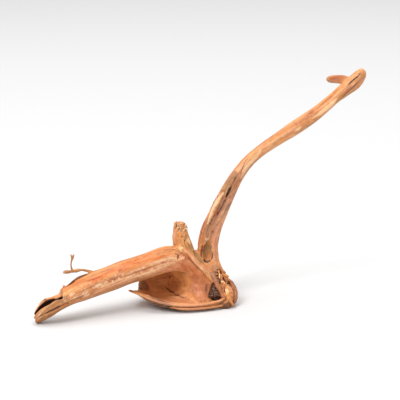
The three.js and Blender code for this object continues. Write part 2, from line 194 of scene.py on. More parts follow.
# The marks that can be told apart on the root, some of them painted highlights and some painted shade: kind,
# half width, and points on its surface.
MARKS = [
    # Along the leg, from its tip to the knee.
    ("scribble", 0.9, (-88, -37, 43), (-89, -38, 41), (-90, -38, 38)),
    ("scribble", 0.8, (-95, -40, 42), (-92, -39, 40), (-89, -38, 40)),
    ("scribble", 0.8, (-101, -42, 42), (-98, -42, 41)),
    ("scribble", 0.8, (-110, -47, 38), (-107, -46, 39)),
    ("scribble", 0.8, (-121, -48, 41), (-110, -45, 43), (-102, -41, 45)),
    ("crack", 0.9, (-169, -64.5, 6), (-165.5, -66.5, 9.3), (-160.4, -66.1, 12.6), (-151.2, -65.6, 16.5),
     (-143.4, -63.4, 20.2), (-136.3, -60.4, 22.2)),
    ("crack", 0.8, (-169, -63.6, 3), (-160.5, -65.8, 9.1), (-151.5, -63.1, 12.7), (-142.8, -58.7, 15.2)),
    ("crack", 0.4, (-159, -64, 17), (-155, -67, 17)),
    ("red", 1.1, (-143, -63, 19), (-138, -61, 23)),
    ("khaki", 4.4, (-163, -66, 12), (-155, -66, 20), (-147, -65, 25)),
    ("grey", 3.4, (-144, -64, 25), (-138, -62, 28)),
    ("bark", 1.3, (-139, -50, 34), (-135, -47, 38), (-131, -44, 41)),
    ("bark", 1.2, (-131, -42, 41), (-126, -40, 43), (-120, -37, 45)),
    ("bark", 1.0, (-142, -49, 30), (-141, -49, 36)),
    ("bark", 0.8, (-134, -40, 47), (-130, -39, 48), (-126, -38, 49)),
    ("bark", 0.8, (-148, -48, 24), (-156, -51, 23), (-161, -54, 24), (-165, -55, 20)),
    # On the knob.
    ("hole", 0.7, (-23, 10, 84)),
    ("hole", 0.6, (-26, 8, 79)),
    ("hole", 0.6, (-22, 9, 79)),
    ("hole", 0.6, (-20, 10, 81)),
    ("hole", 0.7, (-21, 8, 73)),
    ("hole", 0.6, (-19, 9, 72)),
    ("hole", 0.6, (-18, 8, 69)),
    ("hole", 0.5, (-28, 8, 72)),
    ("gold", 5.8, (-24, 10, 85), (-22, 6, 69)),
    ("cream", 1.8, (-15, 11, 71), (-13, 11, 65)),
    # Painted highlight on the knob's face.
    ("cream", 2.1, (-23, 5, 64), (-22, 0, 60)),
    ("gash", 1.0, (-28, -4, 58), (-25, -3, 56), (-26, -5, 51)),
    ("gash", 0.6, (-22, -1, 57), (-25, -3, 55)),
    # Painted highlight beside the star crack.
    ("cream", 1.7, (-23, -3, 52), (-19, -1, 53)),
    ("brown", 1.4, (-33, -1, 64), (-27, 8, 63)),
    ("dark", 1.5, (-5, 28, 56)),
    # The lip that runs from the knob down to the heel, and what lies beside it.
    ("lip", 1.6, (-19, 2, 60), (-12, 0, 55), (-5, -2, 44), (3, -1, 39), (8, 1, 33)),
    ("groove", 1.1, (-16, 1, 54), (-8, -1, 45), (0, -1, 37)),
    ("olive", 3.2, (-14, 9, 64), (-8, 14, 53), (1, 14, 43)),
    ("gold", 2.7, (2, 12, 40), (10, 14, 36)),
    ("grey", 1.9, (11, 14, 34), (17, 12, 31)),
    ("grey", 3.0, (10, 7, 31), (14, 4, 28), (17, 7, 28)),
    ("pink", 2.0, (12, 4, 29), (16, -2, 23), (21, -7, 14)),
    ("seam", 1.0, (6, -13, 8), (13, -11, 9), (21, -8, 12)),
    ("gold", 2.6, (6, 13, 39), (12, 13, 35)),
    ("gash", 1.2, (15, 9, 31), (19, 4, 23), (23, -2, 15), (25, -7, 10)),
    ("brown", 2.8, (33, 10, 17), (34, 0, 14), (32, -9, 9)),
    ("dark", 3.2, (20, -13, 2), (26, -14, 3), (31, -10, 5)),
    ("raw", 1.2, (28, -10, 12), (31, -10, 9), (34, -9, 3)),
    # The scoop's rim.
    ("lip", 1.1, (-66, -15, 17), (-53, -21, 16), (-42, -24, 12), (-27, -24, 9)),
    ("lip", 1.1, (-27, -24, 9), (-12, -22, 8), (4, -18, 7), (18, -12, 9)),
    ("groove", 0.6, (-54, -25, 14), (-42, -27, 10), (-27, -27, 7), (-8, -23, 4)),
    ("bark", 0.6, (-77, -15, 21), (-72, -17, 20)),
    # Painted shadow inside the scoop, behind its rim.
    ("dark", 2.7, (-55, -16, 9), (-44, -14, 3), (-32, -20, 2)),
    # Inside the scoop.
    # Painted shade deep in the scoop's far left end.
    ("dark", 4.2, (-67, 16, 18), (-65, 8, 14)),
    ("khaki", 3.8, (-56, 24, 18), (-49, 27, 13), (-41, 23, 9)),
    ("gash", 1.2, (-40, 27, 13), (-38.9, 25.9, 11.5), (-32.3, 17.3, 9.1), (-23.5, 2.2, 8.9), (-14, -10, 9.5)),
    ("groove", 1.2, (-45, 29, 21), (-39, 30, 22), (-32, 18, 26)),
    ("groove", 0.9, (-52, 27, 18), (-46, 28, 16), (-40, 26, 12)),
    ("gold", 2.6, (-54, 25, 17), (-48, 27, 14)),
    # Painted light: the pink patch where light falls on the scoop's face.
    ("pink", 3.6, (-8, 0, 23), (-3, -5, 16), (2, -11, 11)),
    ("hole", 0.7, (-1, -14, 9)),
    ("hole", 0.6, (3, -13, 9)),
    ("brown", 6.8, (-23, 6, 35), (-17, 5, 25)),
    ("dark", 1.6, (5, -1, 23), (4, -6, 16)),
    # The decayed side of the neck, from its scar upwards.
    ("olive", 4.2, (5, 20, 63), (5, 22, 48)),
    ("gash", 1.5, (0, 19, 60), (-1, 18, 53), (0, 16, 48)),
    ("gash", 1.2, (11, 18, 53), (11, 17, 49), (9, 15, 45)),
    ("seam", 2.0, (0.3, 16.2, 45.8), (3, 16.2, 43.8), (6, 16.3, 43.2), (9.6, 16.8, 45.2)),
    # Painted shade: dark rust along the neck's shaded left edge.
    ("rust", 1.7, (-4, 23, 59), (-1, 26, 75), (6, 33, 92), (14, 37, 105), (21, 32, 117)),
    ("ridge", 1.1, (2, 19, 65), (4, 23, 77), (6, 24, 83)),
    # A painted highlight along the neck's raised strip.
    ("strip", 1.9, (6, 24, 83), (10, 27, 95), (16, 30, 106), (22, 30, 115)),
    ("scribble", 0.8, (11, 24, 89), (15, 26, 95), (18, 27, 101)),
    ("decay", 3.0, (5, 20, 68), (8, 22, 79), (12, 24, 86), (17, 25, 93)),
    ("decay", 2.6, (17, 25, 93), (21, 27, 100), (24, 28, 107), (27, 29, 114)),
    ("seam", 1.7, (26, 29, 111), (28, 29, 116), (31, 30, 122)),
    ("line", 1.0, (17, 26, 92), (22, 28, 102), (26, 29, 111)),
    ("line", 0.9, (31, 30, 122), (34, 31, 128), (36, 33, 134)),
    ("hole", 0.6, (8, 23, 83)),
    ("hole", 0.6, (10, 24, 87)),
    ("hole", 0.6, (14, 24, 90)),
    ("khaki", 2.3, (23, 31, 118), (27, 32, 125), (32, 33, 132)),
    ("cream", 0.6, (25, 29, 114), (27, 30, 121), (30, 31, 127)),
    ("pink", 2.5, (23, 27, 95), (27, 29, 103), (32, 30, 112)),
    # Painted light: pink on the neck's lit side.
    ("pink", 3.4, (14, 18, 43), (14, 22, 64), (16, 24, 79), (23, 27, 95)),
    ("brown", 0.8, (18, 27, 69), (20, 26, 84)),
    ("scribble", 0.9, (41, 32, 137), (45, 34, 147), (49, 35, 153)),
    # Painted highlight along the neck.
    ("cream", 2.4, (42, 32, 131), (47, 33, 142), (54, 33, 150), (62, 34, 160)),
    # The upper neck and the tip.
    # Painted highlights along the upper neck.
    ("strip", 1.9, (142, 30, 218), (135, 31, 210), (128, 31, 204), (116, 31, 195)),
    ("cream", 1.2, (104, 32, 186), (97, 32, 181)),
    # Painted shade in a patch on the upper neck.
    ("brown", 1.6, (111, 35, 200), (117, 33, 202)),
    ("dark", 0.7, (116, 33, 190)),
    # Painted shade along the upper neck's underside.
    ("khaki", 1.5, (114, 32, 190), (105, 33, 184), (96, 33, 177)),
    ("crack", 0.8, (166, 31, 245), (162, 30, 240), (155, 31, 234), (151, 31, 229)),
    ("crack", 0.6, (163, 32, 246), (158, 31, 240), (152, 31, 234)),
    # A groove, with painted shade in it between the lit ridge and the underside.
    ("groove", 1.3, (166, 33, 237), (159, 33, 229), (151, 32, 221), (144, 32, 214)),
    # Painted highlight on the lit ridge beside the tip's cracks.
    ("lip", 0.9, (160, 31, 234), (155, 31, 229)),
    # Painted shade on the tip's under-lobe and the neck's underside.
    ("khaki", 2.3, (169, 34, 240), (164, 35, 234), (154, 32, 225), (144, 31, 217), (136, 32, 208)),
    # Painted shade on the hook.
    ("rust", 2.5, (135, 57, 233), (150, 42, 237)),
]
# The small things that stand on the wood, as (mask, amount, stations), where the stations are the
# (x, y, z, half width, half depth) of a closed tube.
DETAILS = [
    # The rootlet on the leg, with its two tines, and the twig that stands on it, with a frayed head.
    ("olive", 0.7, [
        (-106, -31, 43, 1.6, 1.6), (-112, -33, 47, 1, 1), (-119, -36, 49.5, 0.9, 0.9),
        (-124, -38, 50.5, 1.2, 1.2), (-129, -39.5, 49.6, 1.5, 1.4), (-132.5, -40.5, 50, 1.2, 1.1),
        (-137, -42, 50.5, 0.7, 0.7),
    ]),
    ("brown", 0.8, [
        (-132, -40.5, 50, 0.9, 0.9), (-137.5, -42.5, 48.6, 0.8, 0.7), (-142, -44, 49, 0.5, 0.5),
    ]),
    ("brown", 0.7, [
        (-136, -42, 50.3, 0.7, 0.7), (-139, -42.5, 51, 0.6, 0.6), (-142.5, -43, 50.4, 0.4, 0.4),
    ]),
    ("olive", 0.9, [
        (-132.5, -40.5, 50, 1, 1), (-134.2, -41, 55, 0.8, 0.8), (-133.8, -42, 60, 0.75, 0.7),
        (-133, -43, 64.5, 1, 0.8), (-134, -43.5, 68.6, 0.5, 0.5),
    ]),
    ("brown", 0.8, [
        (-133.6, -42, 61, 0.7, 0.6), (-131.8, -41.6, 65, 0.9, 0.6), (-131, -41, 68.2, 0.5, 0.4),
    ]),
    ("brown", 0.9, [(-133.2, -42.5, 63, 0.6, 0.5), (-132.6, -42.6, 67.4, 0.8, 0.5)]),
    # The flake in front of the notch in the leg, and the dark bark behind it.
    ("brown", 0.4, [
        (-142.5, -51, 26, 1.8, 1.6), (-142.4, -50.5, 32, 1.5, 1), (-141, -49.6, 38, 0.5, 0.5),
    ]),
    ("dark", 0.8, [
        (-139.5, -49, 29, 1.2, 1.4), (-139, -48, 34, 0.8, 1), (-139.4, -47.6, 36.4, 0.4, 0.5),
    ]),
    # The leg's front wall at its tip, in two strips with a crack between them.
    ("olive", 0.35, [
        (-169.4, -61.5, 6.2, 2.4, 1.6), (-167.6, -62.5, 8.8, 2.6, 1.7), (-162.6, -64, 13.4, 3.2, 1.7),
        (-156.6, -64.4, 17.2, 3.4, 1.8), (-150.9, -63.8, 19.8, 3.4, 1.9), (-145.3, -62.4, 22, 3.2, 2),
        (-140, -60.2, 24.4, 2.8, 2), (-134, -57, 27, 1.4, 1.6),
    ]),
    ("gold", 0.3, [
        (-169, -61.5, 2.8, 1.6, 1.6), (-164, -63.6, 7.6, 1.7, 1.6), (-156.5, -65.2, 12.4, 1.8, 1.5),
        (-148, -64, 16.6, 1.8, 1.5), (-138, -60, 21, 1.5, 1.5), (-131, -57, 24, 0.8, 1),
    ]),
    # The back wall's upper edge.
    ("gold", 0.4, [
        (-170.5, -54, 7, 0.8, 0.9), (-166.6, -50, 16.4, 0.9, 1), (-162.8, -48, 20.6, 1, 1),
        (-156.6, -47, 21.2, 0.9, 0.9), (-148.7, -48, 23.6, 0.9, 0.9), (-144, -49.5, 26.2, 1, 1),
    ]),
    # The strut of wood across the heel, right of the pocket: weathered grey above, and brown below.
    ("grey", 0.75, [
        (8, 8, 33, 2, 2), (11, 4, 29.5, 2.9, 2), (14, 1, 25.5, 2.6, 2), (16, -1, 22.5, 2, 1.6),
    ]),
    ("brown", 1.0, [
        (12, 3, 28, 2, 1.8), (17, -3, 21, 2.5, 2), (21, -7, 14, 2.4, 2), (23, -9.5, 8, 3, 2.2),
    ]),
    # The splinter at the heel's foot.
    ("raw", 0.5, [
        (25.5, -8.5, 14.5, 1, 1.2), (28.6, -11, 10, 1.6, 1.4), (31.6, -12.4, 5.6, 1.5, 1.2),
        (33.8, -12.8, 2.4, 0.6, 0.6),
    ]),
    # The brown lobe at the heel's right, and the chips above it.
    ("brown", 1.0, [
        (30.5, 12, 23, 1.4, 2.2), (33, 8, 18, 2.7, 3.6), (34.8, 3.5, 12.5, 2.8, 4.4),
        (34.2, -2, 7, 2.8, 4.2), (31, -7, 3, 1.4, 2.2),
    ]),
    ("brown", 0.6, [(20, 15, 35, 1.2, 1.6), (23.4, 13.5, 32.6, 1.3, 1.6), (25.2, 13, 32, 0.5, 0.6)]),
    ("raw", 0.8, [(22, 14, 30.6, 1.6, 2), (26.4, 12.4, 28.4, 1.6, 1.8), (28.4, 12, 28.2, 0.6, 0.8)]),
    ("brown", 0.7, [(25, 12.5, 26.4, 1.5, 2), (29.4, 11, 24, 1.4, 1.8), (31.2, 10.6, 23.8, 0.5, 0.8)]),
    # Loose bark on the leg's upper edge.
    ("dark", 0.8, [
        (-140, -50, 32.4, 0.5, 0.9), (-136, -47.5, 37.2, 0.9, 1.6), (-131, -44, 41.6, 0.6, 1),
    ]),
    ("dark", 0.6, [
        (-132, -43, 40.4, 0.6, 0.9), (-127, -40.5, 43.4, 0.8, 1.4), (-119, -36.5, 45.6, 0.4, 0.7),
    ]),
    # The bulge on the knob's left, and the hook's blunt end, brown as painted shade.
    ("pink", 0.5, [
        (-27, 12, 80, 2.2, 3), (-28.4, 12, 75, 3, 4), (-28.6, 11, 70, 3, 4),
        (-27.4, 10, 64, 2, 3),
    ]),
    ("brown", 0.45, [
        (150, 47, 234.5, 4, 3.4), (145, 53, 233, 4.2, 3.6), (139.5, 59, 232, 3.9, 3.4),
        (135.5, 63.5, 231.4, 3.5, 3), (133.6, 65.6, 231.1, 2.2, 2),
    ]),
    # The strands of the scoop's rim; the lower one is brown as painted shade under the rim.
    ("pink", 0.5, [
        (-76, -13.8, 20.2, 0.8, 0.8), (-66, -18.5, 17.8, 1.1, 1.1), (-55, -23.4, 14.8, 1.3, 1.2),
        (-45, -25.8, 11.8, 1.4, 1.3), (-28, -26, 8.4, 1.4, 1.4), (-12, -23.8, 7.4, 1.5, 1.5),
        (4, -20, 7.4, 1.5, 1.5), (18, -13.5, 9, 1.4, 1.4), (24, -9, 11, 1, 1),
    ]),
    ("brown", 0.45, [
        (-34, -25.5, 6, 0.7, 0.8), (-24, -27, 5, 1.2, 1.2), (-12, -26, 4.2, 1.3, 1.3),
        (0, -23, 4, 1.3, 1.3), (12, -19, 4, 1.3, 1.3), (22, -14, 4.4, 1, 1),
    ]),
]
# The earth that fills the pocket to its three corners, as details that paint no mask.
EARTH_FILL = [
    ("", 0, [
        (12.3, 3, 25, 0.8, 2), (12, 1, 21, 2.4, 3), (12.2, -2.4, 17, 4.2, 4), (12.6, -5.4, 13.5, 5.8, 4.5),
        (13, -7.4, 10.6, 6.6, 4.5),
    ]),
    ("", 0, [(11.4, -1.5, 20.5, 1.2, 2), (9.6, -6.5, 15.6, 2.8, 2.8), (8.8, -10.2, 11.4, 3.2, 3)]),
]


# ---- Noise and paths


def lattice_hash(cell, seed):
    """A number of 32 bits for each cell of a lattice."""
    x, y, z = (cell[:, k].astype(np.int64) for k in range(3))
    mixed = (x * 374761393 + y * 668265263 + z * 2246822519 + seed * 3266489917) & 0xFFFFFFFF
    mixed = ((mixed ^ (mixed >> 13)) * 1274126177) & 0xFFFFFFFF
    mixed = ((mixed ^ (mixed >> 15)) * 2654435761) & 0xFFFFFFFF
    return mixed ^ (mixed >> 16)


def noise(points, seed):
    """Smooth noise from about -1 to 1, with features one unit across."""
    base = np.floor(points)
    inside = points - base
    eased = inside**3 * (inside * (inside * 6 - 15) + 10)
    total = np.zeros(len(points))
    for corner in itertools.product((0, 1), repeat=3):
        mixed = lattice_hash(base + corner, seed)
        angle = (mixed & 0xFFFF) * (2 * math.pi / 0x10000)
        height = ((mixed >> 16) & 0xFFFF) / 0x8000 - 1
        flat = np.sqrt(np.maximum(0, 1 - height**2))
        away = inside - corner
        slope = away[:, 0] * flat * np.cos(angle) + away[:, 1] * flat * np.sin(angle) + away[:, 2] * height
        total += slope * np.prod(np.where(corner, eased, 1 - eased), axis=1)
    return total * GRADIENT


def cells(points, seed):
    """For cells one unit across: how far each point is inside its own, and a number from 0 to 1 for it."""
    base = np.floor(points)
    best = np.full(len(points), 9.0)
    second = best.copy()
    mark = np.zeros(len(points))
    for step in itertools.product((-1, 0, 1), repeat=3):
        cell = base + step
        mixed = lattice_hash(cell, seed)
        offsets = np.stack([(mixed >> shift) & 0xFF for shift in (0, 8, 16)], axis=1) / 255
        far = np.linalg.norm(cell + offsets - points, axis=1)
        nearer = far < best
        second = np.where(nearer, best, np.minimum(second, far))
        mark = np.where(nearer, (mixed >> 24) / 255, mark)
        best = np.where(nearer, far, best)
    return second - best, mark


def smooth_path(points):
    """Points every PATH_STEP or so along a smooth curve through the given points."""
    given = np.array(points, float)
    if len(given) == 1:
        return given
    padded = np.vstack([2 * given[0] - given[1], given, 2 * given[-1] - given[-2]])
    path = []
    for a, b, c, d in zip(padded, padded[1:], padded[2:], padded[3:]):
        steps = max(2, round(float(np.linalg.norm(c[:3] - b[:3])) / PATH_STEP))
        t = np.arange(steps)[:, None] / steps
        bend = (2 * a - 5 * b + 4 * c - d) * t**2 + (3 * b - a - 3 * c + d) * t**3
        path.append(b + 0.5 * ((c - a) * t + bend))
    return np.vstack([*path, given[-1:]])


def directions(path):
    """Along the path, towards its back and across it, at each of its points."""
    along = np.gradient(path[:, :3], axis=0)
    along /= np.linalg.norm(along, axis=1)[:, None]
    deep = np.array([0.0, 1.0, 0.0]) - along * along[:, 1:2]
    deep /= np.linalg.norm(deep, axis=1)[:, None]
    return along, deep, np.cross(deep, along)


def nearest(points, path):
    """For each point, the index of the nearest point of the path, and how far it is."""
    index = np.empty(len(points), int)
    far = np.empty(len(points))
    for start in range(0, len(points), CHUNK):
        part = points[start : start + CHUNK]
        gaps = np.linalg.norm(part[:, None, :] - path[None, :, :3], axis=2)
        index[start : start + CHUNK] = gaps.argmin(axis=1)
        far[start : start + CHUNK] = gaps.min(axis=1)
    return index, far


def fade(value, low, high):
    """0 below low, 1 above high, and smooth between; low may be above high."""
    t = np.clip((value - low) / (high - low), 0, 1)
    return t * t * (3 - 2 * t)


# ---- The wood's grain


def grain_of(points):
    """For each limb: the points' places across it and along it, and its share of each point's grain."""
    limbs = []
    for stations in LIMBS.values():
        path = smooth_path(stations)
        along, deep, across = directions(path)
        steps = np.linalg.norm(np.diff(path[:, :3], axis=0), axis=1)
        travelled = np.concatenate([[0], np.cumsum(steps)])
        index, far = nearest(points, path)
        away = points - path[index, :3]
        place = np.stack(
            [
                np.einsum("ij,ij->i", away, across[index]),
                np.einsum("ij,ij->i", away, deep[index]),
                travelled[index] + np.einsum("ij,ij->i", away, along[index]),
            ],
            axis=1,
        )
        limbs.append((place, np.maximum(far - path[index, 3], -BLEND)))
    shares = np.exp(-np.stack([outside for _, outside in limbs]) / BLEND)
    shares /= shares.sum(axis=0)
    return [(place, share) for (place, _), share in zip(limbs, shares)]


def streaks(grain, wide, long, seed):
    """Noise drawn out along the grain: wide across it and long along it, in millimetres."""
    total = 0
    for number, (place, share) in enumerate(grain):
        shown = share > 0.02
        value = np.zeros(len(share))
        value[shown] = noise(place[shown] / (wide, wide, long), seed + 100 * number)
        total = total + share * value
    return total


# ---- The wood's mesh


def remeshed(node, side, name, pieces=()):
    """An object whose even mesh of squares has the CAD node's shape, joined with the pieces' tubes."""
    shape = bpy.data.objects.new("shape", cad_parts[node].data.copy())
    bpy.context.scene.collection.objects.link(shape)
    add_tubes(shape.data, pieces, FILL_SIDES)
    even = shape.modifiers.new("even", "REMESH")
    even.mode = "VOXEL"
    even.voxel_size = side * MM
    ready = shape.evaluated_get(bpy.context.evaluated_depsgraph_get())
    mesh = bpy.data.meshes.new_from_object(ready)
    bpy.data.objects.remove(shape)
    mesh.name = name
    mesh.materials.clear()
    piece = bpy.data.objects.new(name, mesh)
    bpy.context.scene.collection.objects.link(piece)
    return piece


def points_of(mesh):
    flat = np.empty(len(mesh.vertices) * 3, np.float32)
    mesh.vertices.foreach_get("co", flat)
    return flat.reshape(-1, 3).astype(float) / MM


def set_points(mesh, points):
    mesh.vertices.foreach_set("co", (points * MM).astype(np.float32).ravel())
    mesh.update()


def normals_of(mesh):
    flat = np.empty(len(mesh.vertices) * 3, np.float32)
    mesh.vertex_normals.foreach_get("vector", flat)
    return flat.reshape(-1, 3).astype(float)


def set_mask(mesh, name, values):
    layer = mesh.attributes.new(name, "FLOAT", "POINT")
    layer.data.foreach_set("value", values.astype(np.float32))


def smoothed(mesh, points, strength, rounds):
    """The points drawn towards their neighbours, by each point's own strength."""
    ends = np.empty(len(mesh.edges) * 2, np.int32)
    mesh.edges.foreach_get("vertices", ends)
    pairs = ends.reshape(-1, 2)
    pairs = np.concatenate([pairs, pairs[:, ::-1]])
    order = np.argsort(pairs[:, 0], kind="stable")
    pairs = pairs[order]
    counts = np.bincount(pairs[:, 0], minlength=len(points))[:, None]
    for _ in range(rounds):
        sums = [np.bincount(pairs[:, 0], points[pairs[:, 1], k], len(points)) for k in range(3)]
        points = points + strength[:, None] * (np.stack(sums, axis=1) / counts - points)
    return points


def tube(stations, sides, turn):
    """The points and faces of a closed tube with an oval section."""
    path = smooth_path(stations)
    _, deep, across = directions(path)
    points = []
    for k in range(sides):
        angle = turn + 2 * math.pi * k / sides
        ring = across * path[:, 3:4] * math.cos(angle) + deep * path[:, 4:5] * math.sin(angle)
        points.append(path[:, :3] + ring)
    points = np.stack(points, axis=1).reshape(-1, 3)
    faces = []
    for ring, k in itertools.product(range(len(path) - 1), range(sides)):
        near = ring * sides
        far = near + sides
        faces.append((near + k, near + (k + 1) % sides, far + (k + 1) % sides, far + k))
    last = (len(path) - 1) * sides
    faces += [tuple(range(sides))[::-1], tuple(range(last, last + sides))]
    return points, faces


def add_tubes(mesh, pieces, sides):
    """Adds a closed tube for each (mask, amount, stations). Gives mask, amount, first and last new point."""
    grown = bmesh.new()
    grown.from_mesh(mesh)
    ranges = []
    for number, (mask, amount, stations) in enumerate(pieces):
        points, faces = tube(stations, sides, TUBE_TURN * number)
        start = len(grown.verts)
        corners = [grown.verts.new(point * MM) for point in points]
        made = [grown.faces.new([corners[k] for k in face]) for face in faces]
        bmesh.ops.recalc_face_normals(grown, faces=made)
        ranges.append((mask, amount, start, start + len(points)))
    grown.to_mesh(mesh)
    grown.free()
    return ranges


def front_of(points, x, z):
    """How far forward the wood stands at a place seen from the front, or the heel's middle if it has none."""
    reach = 1.2
    heel_middle = 10.0
    close = (np.abs(points[:, 0] - x) < reach) & (np.abs(points[:, 2] - z) < reach)
    return points[close, 1].min() if close.any() else heel_middle


def knob_tufts(rng):
    """The ragged tufts on the knob's broken top, tallest at its left."""
    middle_x = -23.6
    middle_y = 15
    foot_z = 78
    waist_z = 83
    top_z = 84.2
    tufts = []
    for k in range(TUFTS):
        angle = k * TUFT_TURN
        out = TUFT_SPREAD * math.sqrt((k + 0.5) / TUFTS)
        x = middle_x + out * math.cos(angle)
        y = middle_y + out * math.sin(angle)
        tall = rng.uniform(0.0, 1.8) + 2.6 * fade(-22 - x, 0, 3) * rng.uniform(0.2, 1.0)
        lean = rng.uniform(-0.9, 0.9, 2)
        wide = rng.uniform(0.6, 1.2)
        mask = ("cream", "brown", "raw", "gold", "dark")[rng.integers(5)]
        foot = (x, y, foot_z, wide, wide)
        waist = (x + lean[0], y + lean[1], waist_z, wide, 0.8 * wide)
        top = (x + 2 * lean[0], y + 2 * lean[1], top_z + tall, 0.5, 0.4)
        tufts.append((mask, 0.7, [foot, waist, top]))
    return tufts


def split_blocks(rng, points):
    """The blocks of split wood in the heel, which stand out of its dark, broken bed."""
    bed_x = 20
    bed_z = 33
    shift = 8
    fall = 23
    spread = 4.6
    blocks = []
    for k in range(BLOCKS):
        t = (k + rng.uniform(0, 1)) / BLOCKS
        side = rng.uniform(-1, 1)
        x = bed_x + shift * t + spread * side * (1 - 0.35 * t)
        z = bed_z - fall * t
        middle = np.array([x, front_of(points, x, z) + rng.uniform(-0.9, 0.5), z])
        lean = np.array([0.3 + 0.35 * side, -0.3, -1.0]) * rng.uniform(1.4, 3.4)
        wide = rng.uniform(0.7, 1.7)
        deep = rng.uniform(0.8, 1.7)
        mask = ("raw", "raw", "gold", "raw", "brown", "cream")[rng.integers(6)]
        head = (*(middle - lean + (0, 0.8, 0)), 0.7 * wide, 0.7 * deep)
        foot = (*(middle + lean), 0.7 * wide, 0.6 * deep)
        blocks.append((mask, 0.9, [head, (*middle, wide, deep), foot]))
    return blocks


def lobe_blocks(rng):
    """The larger brown blocks down the lobe at the heel's right, along a curve that bulges to the right."""
    head = np.array([31.4, 9.5, 21])
    run = np.array([0, -16, -17])
    bulge = 4.2
    blocks = []
    for k in range(LOBE_BLOCKS):
        t = (k + rng.uniform(0, 1)) / LOBE_BLOCKS
        middle = head + run * t + (bulge * math.sin(2.6 * t + 0.3), 0, 0)
        middle += rng.uniform(-1.2, 0.6, 3)
        lean = np.array([0.5 - t, -0.5, -1.0]) * rng.uniform(1.5, 3.0)
        wide = rng.uniform(1.0, 2.0)
        deep = rng.uniform(1.2, 2.4)
        mask = ("olive", "brown", "olive", "brown", "dark")[rng.integers(5)]
        top = (*(middle - lean), 0.6 * wide, 0.7 * deep)
        foot = (*(middle + lean), 0.6 * wide, 0.6 * deep)
        blocks.append((mask, 1.0, [top, (*middle, wide, deep), foot]))
    return blocks


def near_paths(points, paths):
    """1 within each path's reach, and 0 a little beyond it."""
    inside = np.zeros(len(points))
    for stations in paths:
        path = smooth_path(stations)
        reach = path[:, 3].max() + 2
        low, high = path[:, :3].min(axis=0) - reach, path[:, :3].max(axis=0) + reach
        close = np.all((points > low) & (points < high), axis=1)
        index, far = nearest(points[close], path)
        inside[close] = np.maximum(inside[close], fade(far - path[index, 3], 2, 0))
    return inside


def marks_on(points, edge):
    """The height that the marks add, and their masks. The edge noise makes their outlines uneven."""
    height = np.zeros(len(points))
    masks = {name: np.zeros(len(points)) for name in WOOD_COLOURS}
    for kind, half, *route in MARKS:
        path = smooth_path(route)
        reach = half * 2.2 + 1
        close = np.all((points > path.min(axis=0) - reach) & (points < path.max(axis=0) + reach), axis=1)
        index, far = nearest(points[close], path)
        ends = np.minimum(index, len(path) - 1 - index) / max(1, len(path) - 1)
        width = half * (0.45 + 0.55 * fade(ends, 0, 0.3)) if len(path) > 1 else half
        share = fade(far / width + 0.6 * edge[close], 1.5, 0.5)
        rise, paints = KINDS[kind]
        height[close] += rise * share
        for name, amount in paints.items():
            masks[name][close] = np.maximum(masks[name][close], amount * share)
    return height, masks


def round_edges(mesh):
    """Rounds the wood, but hardly its slight parts, and less at its crisp edges. Gives its points."""
    points = points_of(mesh)
    slight = near_paths(points, SLIGHT)
    crisp = near_paths(points, CRISP)
    strength = 0.5 * (1 - 0.97 * slight) * (1 - 0.75 * crisp)
    points = smoothed(mesh, points, strength, SMOOTHING)
    set_points(mesh, points)
    return points


def grow_details(mesh, points):
    """Adds every small thing that stands on the wood, and gives what add_tubes gives for each."""
    rng = np.random.default_rng(SPLINTER_SEED)
    ranges = add_tubes(mesh, DETAILS, DETAIL_SIDES)
    splinters = knob_tufts(rng) + split_blocks(rng, points) + lobe_blocks(rng)
    return ranges + add_tubes(mesh, splinters, SPLINTER_SIDES)


class Patterns:
    """What the relief and the colours share: noise from about -1 to 1, with features of so many
    millimetres and a seed of its own, and places that are 1 inside and 0 outside."""

    def __init__(self, points, added):
        grain = grain_of(points)
        self.flutes = streaks(grain, wide=9, long=75, seed=1)
        self.ridges = streaks(grain, wide=3.4, long=42, seed=2)
        self.threads = streaks(grain, wide=2.4, long=45, seed=9)
        self.fibres = streaks(grain, wide=1.7, long=20, seed=3)
        self.hair = streaks(grain, wide=5, long=110, seed=7)
        self.drift = noise(points / 26, seed=4)
        self.blotch = noise(points / 6.5, seed=5)
        self.speck = noise(points / 2.6, seed=6)
        self.crevice, self.chunk = cells(points / (3.4, 3.4, 5.0), seed=8)
        self.chip_gap, self.chip = cells(points / (2.3, 2.3, 4.2), seed=10)
        self.skin = 1 - added
        self.slight = np.maximum(near_paths(points, SLIGHT), 0.7 * added)
        self.decayed = near_paths(points, DECAYED)
        self.frayed = near_paths(points, FRAYED)
        self.broken = near_paths(points, BROKEN) * self.skin
        self.split = fade(np.abs(self.hair), 0.03, 0) * fade(self.drift, 0.05, 0.4)


def paint_places(masks, points, wood, ranges):
    """Darkens the inside of the leg's hollow end as painted shade, and paints the washes, the streaky bands,
    and each added thing in its own colour.
    """
    # Painted shade inside the leg's hollow end.
    masks["dark"] = np.maximum(masks["dark"], near_paths(points, PIPE) * wood.skin)
    uneven = fade(wood.blotch + 0.5 * wood.ridges, -1.1, 0.2) * (0.3 + 0.7 * wood.skin)
    for name, amount, stations in WASHES:
        masks[name] = np.maximum(masks[name], amount * near_paths(points, [stations]) * uneven)
    for number, (name, amount, mottled, stations) in enumerate(BANDS):
        lean = (wood.ridges, wood.threads)[number % 2]
        mottle = mottled * (0.6 * wood.speck + 0.4 * wood.blotch)
        streaky = fade(0.8 * lean + 0.6 * wood.fibres + mottle, -0.3, 0.35)
        patchy = 1 - mottled * fade(wood.blotch + 0.8 * wood.drift, 0.1, -0.7)
        masks[name] = np.maximum(masks[name], amount * near_paths(points, [stations]) * streaky * patchy)
    for name, amount, start, end in ranges:
        masks[name][start:end] = np.maximum(masks[name][start:end], amount)


